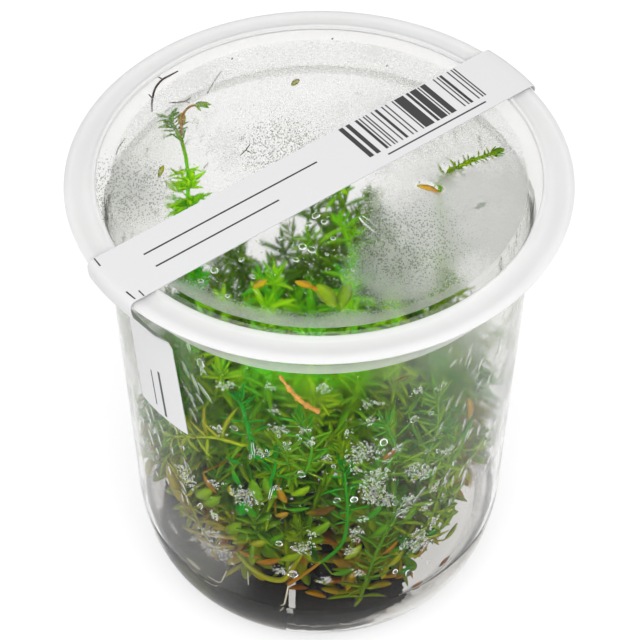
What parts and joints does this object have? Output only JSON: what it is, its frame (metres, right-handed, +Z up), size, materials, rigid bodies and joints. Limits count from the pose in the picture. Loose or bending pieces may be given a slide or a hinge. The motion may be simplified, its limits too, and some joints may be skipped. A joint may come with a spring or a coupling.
{
  "type": "rotala in a lidded culture cup",
  "caption": "Aquarium stem plant growing in clear gel inside a round see-through culture cup with a wide-rimmed lid and a paper label strip.",
  "frame": {"origin": "centre of the cup's flat foot", "axes": "+Z up along the cup's axis, -Y the front, +X to the right as seen from the front"},
  "size_m": [0.101, 0.101, 0.1096],
  "materials": {
    "cup_plastic": "clear moulded plastic, fogged inside",
    "lid_plastic": "clear panel, milky flange",
    "label_paper": "smooth white sticker",
    "clear_gel": "clear wet jelly",
    "dark_mat": "charcoal felt, wet",
    "rotala_green": "soft leaf, slightly glossy",
    "withered_brown": "dead stem and root"
  },
  "bodies": {
    "root": {"cup": "cup_plastic", "lid": "lid_plastic", "label": "label_paper", "gel": "clear_gel", "mat_left": "dark_mat", "mat_right": "dark_mat", "stem_01": "rotala_green", "stem_02": "rotala_green", "stem_03": "rotala_green", "stem_04": "rotala_green", "stem_05": "rotala_green", "stem_06": "rotala_green", "stem_07": "rotala_green", "stem_08": "rotala_green", "stem_09": "rotala_green", "stem_10": "rotala_green", "stem_11": "rotala_green", "stem_12": "rotala_green", "stem_13": "rotala_green", "stem_14": "rotala_green", "stem_15": "rotala_green", "stem_16": "rotala_green", "stem_17": "rotala_green", "stem_18": "rotala_green", "stem_19": "rotala_green", "stem_20": "rotala_green", "stem_21": "rotala_green", "stem_22": "rotala_green", "stem_23": "rotala_green", "stem_24": "rotala_green", "stem_25": "rotala_green", "stem_26": "rotala_green", "stem_27": "rotala_green", "stem_28": "rotala_green", "stem_29": "rotala_green", "stem_30": "rotala_green", "stem_31": "rotala_green", "stem_32": "rotala_green", "stem_33": "rotala_green", "stem_34": "rotala_green", "stem_35": "rotala_green", "stem_36": "rotala_green", "stem_37": "rotala_green", "fallen_stem": "rotala_green", "dead_stem": "withered_brown", "loose_root": "withered_brown"}
  },
  "joints": []
}
